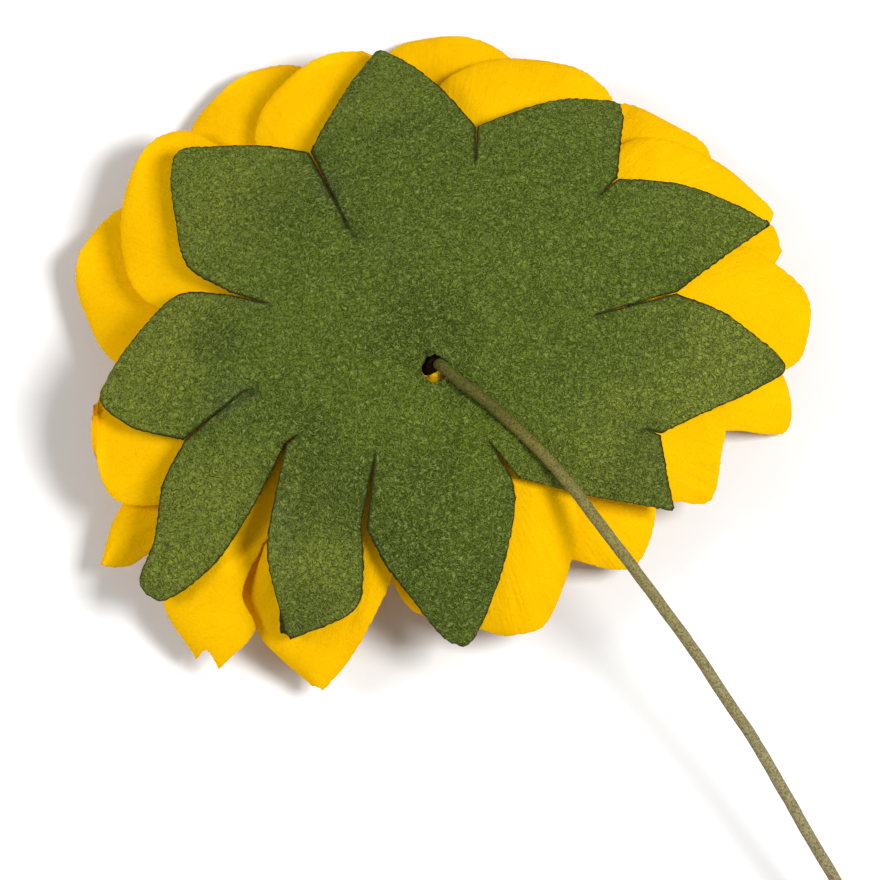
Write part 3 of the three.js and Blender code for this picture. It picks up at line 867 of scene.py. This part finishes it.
def fringed_roll(width):
    """The centre: a solid block for the roll's uncut band, and rings of fringe strips below it.

    Each strip is a thin box carried down a curve that leans out with its ring's radius, with
    its own random lean, turn and length. Places are in millimetres from the hub.
    """
    rng = np.random.default_rng(8)
    band = CENTRE_TOP - BAND_DEPTH
    sides = BLOCK_SIDES
    side = np.arange(sides)
    after = (side + 1) % sides
    turn = side * 2 * np.pi / sides
    rim = CENTRE_RADIUS - 0.9
    radii = np.array([0.5, 0.85, 0.95, 3.0, 6.0, rim, rim, 6.0, 3.0, 0.5])
    heights = np.array([1.35, 1.2, -0.1, -0.4, -1.3, -2.4, 0, 0, 0, 0])
    levels = len(radii)
    heights = np.where(np.arange(levels) < 6, CENTRE_TOP + heights, band)
    block = np.stack([
        radii[:, None] * np.cos(turn) + STEM_FOOT[0],
        radii[:, None] * np.sin(turn) + STEM_FOOT[1],
        np.broadcast_to(heights[:, None], (levels, sides)),
    ], axis=-1).reshape(-1, 3)
    block_faces = ring_faces(levels, sides)[:, ::-1]
    last = (levels - 1) * sides
    closing = np.stack([last + side, last + after, after, side], axis=-1)[:, ::-1]

    rings = np.arange(1.0, CENTRE_RADIUS - 0.7, RING_GAP)
    counts = np.round(2 * np.pi * rings / width).astype(int)
    ring = np.repeat(rings, counts)
    strips = len(ring)
    bearing = np.concatenate([np.arange(n) * 2 * np.pi / n for n in counts])
    bearing = bearing + rng.uniform(-0.12, 0.12, strips)
    reach = ring / CENTRE_RADIUS
    strip_top = band + 0.6
    length_down = strip_top - (CENTRE_FACE + 0.15 + 1.9 * reach**2) - rng.uniform(0, 0.8, strips)
    steps = np.linspace(0, 1, STRIP_STEPS)
    lean = (0.9 * reach + rng.normal(0, 0.14, strips))[:, None] * steps**1.6
    radius = np.minimum(ring[:, None] + lean, CENTRE_RADIUS - 0.25)
    sway = rng.normal(0, 0.25, strips)[:, None] * steps**2
    down = strip_top - length_down[:, None] * steps
    half = width * 0.42 * (1 - 0.75 * steps**3)
    corners = []
    for edge, face in ((-1, -1), (1, -1), (1, 1), (-1, 1)):
        out = radius + face * STRIP_THICKNESS / 2
        aside = sway + edge * half
        x = out * np.cos(bearing)[:, None] - aside * np.sin(bearing)[:, None] + STEM_FOOT[0]
        y = out * np.sin(bearing)[:, None] + aside * np.cos(bearing)[:, None] + STEM_FOOT[1]
        corners.append(np.stack([x, y, down], axis=-1))
    strip_places = np.stack(corners, axis=2).reshape(-1, 3)
    points = 4 * STRIP_STEPS
    ends = np.array([[0, 1, 2, 3], [points - 1, points - 2, points - 3, points - 4]])
    each = np.concatenate([ring_faces(STRIP_STEPS, 4)[:, ::-1], ends])
    first = len(block) + points * np.arange(strips)
    strip_faces = (each[None] + first[:, None, None]).reshape(-1, 4)
    along = np.concatenate([np.zeros(len(block)), np.tile(np.repeat(steps, 4), strips)])
    return np.concatenate([block, strip_places]), (block_faces, closing, strip_faces), along


class FLOWER_OT_stem(bpy.types.Operator):
    """Make the covered wire stem"""

    bl_idname = "flower.stem"
    bl_label = "Stem"

    def execute(self, context):
        sizes = context.scene.flower_sizes
        places, faces, marks = wound_stem(sizes.stem_diameter / MM, sizes.wrap_pitch / MM)
        piece = new_piece("stem_wire", places * MM + HUB, *faces)
        set_marks(piece, marks)
        finish_piece(piece, "stem", stem_wrap(context.scene.flower_colours))
        return {"FINISHED"}


def extend(rows):
    """The rows with three more copies of the first and of the last, for the closed ends."""
    return np.concatenate([np.repeat(rows[:1], 3, axis=0), rows, np.repeat(rows[-1:], 3, axis=0)])


def wound_stem(diameter, pitch, rings=620, sides=28):
    """A round section carried along the stem's smooth centre line.

    The radius rises a little over each turn of the wound strip and falls at its seam, so the
    seam is a helix; slow random waves make the wire's small bumps. Both ends are closed.
    """
    path = smooth_curve(STEM_POINTS, np.linspace(0, len(STEM_POINTS) - 1, 2000))
    steps = np.linalg.norm(np.diff(path, axis=0), axis=1)
    travelled = np.concatenate([[0], np.cumsum(steps)])
    run = np.linspace(0, travelled[-1], rings)
    line = np.stack([np.interp(run, travelled, axis) for axis in path.T], axis=1)
    line[:, 0] += 0.05 * ripple(run, 0 * run, 9, 3) * smooth_step(8, 14, run)
    line[:, 1] += 0.05 * ripple(run, 0 * run, 8, 4) * smooth_step(8, 14, run)
    ahead = np.gradient(line, axis=0)
    ahead /= np.linalg.norm(ahead, axis=1)[:, None]
    aside = np.array([0.83, 0.55, 0.0])
    aside = aside - (ahead @ aside)[:, None] * ahead
    aside /= np.linalg.norm(aside, axis=1)[:, None]
    above = np.cross(ahead, aside)
    turn = np.arange(sides) * 2 * np.pi / sides
    wrap = (run[:, None] / pitch + turn / (2 * np.pi) + 0.04 * ripple(run, 0 * run, 5, 6)[:, None]) % 1
    seam = np.exp(-((np.minimum(wrap, 1 - wrap) / 0.07) ** 2))
    bumps = ripple(run[:, None] + 0 * turn, 1.2 * np.cos(turn) + 0 * run[:, None], 2.2, 9)
    radius = diameter / 2 * (0.955 + 0.045 * wrap + 0.012 * bumps - 0.02 * seam)
    caps = np.array([0.0, 0.45, 0.9])
    radius = np.concatenate([caps[:, None] * radius[:1], radius, caps[::-1, None] * radius[-1:]])
    line, aside, above = extend(line), extend(aside), extend(above)
    ring = radius[..., None] * (
        np.cos(turn)[:, None] * aside[:, None] + np.sin(turn)[:, None] * above[:, None])
    places = (line[:, None] + ring).reshape(-1, 3)
    count = len(line)
    side = np.arange(sides)
    after = (side + 1) % sides
    pole = np.full(sides, count * sides)
    last = (count - 2) * sides
    wall = ring_faces(count, sides)[sides:-sides]
    low = np.stack([pole, sides + after, sides + side], axis=1)
    high = np.stack([pole + 1, last + side, last + after], axis=1)
    places = np.concatenate([places, line[:1], line[-1:]])
    core = np.zeros((count, sides))
    core[-2:], core[:2] = 1, 1
    near = np.exp(-np.clip(extend(run[:, None]) - 12.5, 0, None) / 9) * np.ones(sides)
    marks = {
        "seam": np.concatenate([extend(seam).reshape(-1), [0, 0]]),
        "near": np.concatenate([near.reshape(-1), [1, 0]]),
        "core": np.concatenate([core.reshape(-1), [1, 1]]),
    }
    corners = np.concatenate([part.reshape(-1) for part in (wall, low, high)])
    used, corners = np.unique(corners, return_inverse=True)
    ends = corners[wall.size:].reshape(-1, 3)
    wall = corners[: wall.size].reshape(-1, 4)
    marks = {name: values[used] for name, values in marks.items()}
    return places[used], (wall, ends), marks


class FLOWER_OT_stage(bpy.types.Operator):
    """Make the floor, the lights and the camera"""

    bl_idname = "flower.stage"
    bl_label = "Stage"

    def execute(self, context):
        floor = new_piece("floor", [(-3, -3, 0), (3, -3, 0), (3, 3, 0), (-3, 3, 0)], [(0, 1, 2, 3)])
        floor.data.materials.append(floor_paint(context.scene.flower_colours.floor[:]))
        make_light("key", (0.33, -0.03, 0.56), 0.20, 3.85)
        make_light("fill", (-0.48, 0.04, 0.40), 0.24, 1.45)
        make_world(context.scene, 0.31)
        context.scene.view_settings.view_transform = "Standard"
        make_camera(context.scene)
        return {"FINISHED"}


def make_light(name, offset, size, power):
    """A soft square light at an offset from the hub, facing it."""
    data = bpy.data.lights.new(name, "AREA")
    data.size, data.energy = size, power
    light = bpy.data.objects.new(name, data)
    light.location = Vector(HUB) + Vector(offset)
    light.rotation_euler = (-Vector(offset)).to_track_quat("-Z", "Y").to_euler()
    bpy.context.scene.collection.objects.link(light)


def make_world(scene, strength):
    """Even white light from all round."""
    world = bpy.data.worlds.new("studio")
    world.use_nodes = True
    background = world.node_tree.nodes["Background"]
    background.inputs["Color"].default_value = (1, 1, 1, 1)
    background.inputs["Strength"].default_value = strength
    scene.world = world


def make_camera(scene):
    """A long lens above the flower, tipped a little from straight down, with the hub off centre."""
    tilt = math.radians(CAMERA_TILT)
    data = bpy.data.cameras.new("camera")
    data.lens, data.sensor_width = LENS, SENSOR
    distance = VIEW_WIDTH * data.lens / data.sensor_width
    data.clip_start, data.clip_end = distance * 0.1, distance * 20
    camera = bpy.data.objects.new("camera", data)
    up = Vector((0, math.cos(tilt), math.sin(tilt)))
    back = Vector((0, -math.sin(tilt), math.cos(tilt)))
    aim = Vector(HUB) + Vector((AIM_ASIDE, 0, 0)) - up * AIM_BELOW
    camera.location = aim + back * distance
    camera.rotation_euler = (tilt, 0, 0)
    scene.collection.objects.link(camera)
    scene.camera = camera


class FLOWER_PT_panel(bpy.types.Panel):
    """Lists the flower's operators and settings"""

    bl_idname = "FLOWER_PT_panel"
    bl_label = "Paper Flower"
    bl_space_type = "VIEW_3D"
    bl_region_type = "UI"
    bl_category = "Paper Flower"

    def draw(self, context):
        for operator in OPERATORS:
            self.layout.operator(operator.bl_idname)
        for group in (context.scene.flower_sizes, context.scene.flower_colours):
            for name in group.__annotations__:
                self.layout.prop(group, name)


OPERATORS = (FLOWER_OT_calyx, FLOWER_OT_petals, FLOWER_OT_centre, FLOWER_OT_stem, FLOWER_OT_stage)
CLASSES = (FlowerSizes, FlowerColours, *OPERATORS, FLOWER_PT_panel)


def register():
    for item in CLASSES:
        bpy.utils.register_class(item)
    bpy.types.Scene.flower_sizes = PointerProperty(type=FlowerSizes)
    bpy.types.Scene.flower_colours = PointerProperty(type=FlowerColours)


def unregister():
    del bpy.types.Scene.flower_colours
    del bpy.types.Scene.flower_sizes
    for item in reversed(CLASSES):
        bpy.utils.unregister_class(item)


def main():
    register()
    bpy.ops.flower.calyx()
    bpy.ops.flower.petals()
    bpy.ops.flower.centre()
    bpy.ops.flower.stem()
    bpy.ops.flower.stage()


if __name__ == "__main__":
    main()
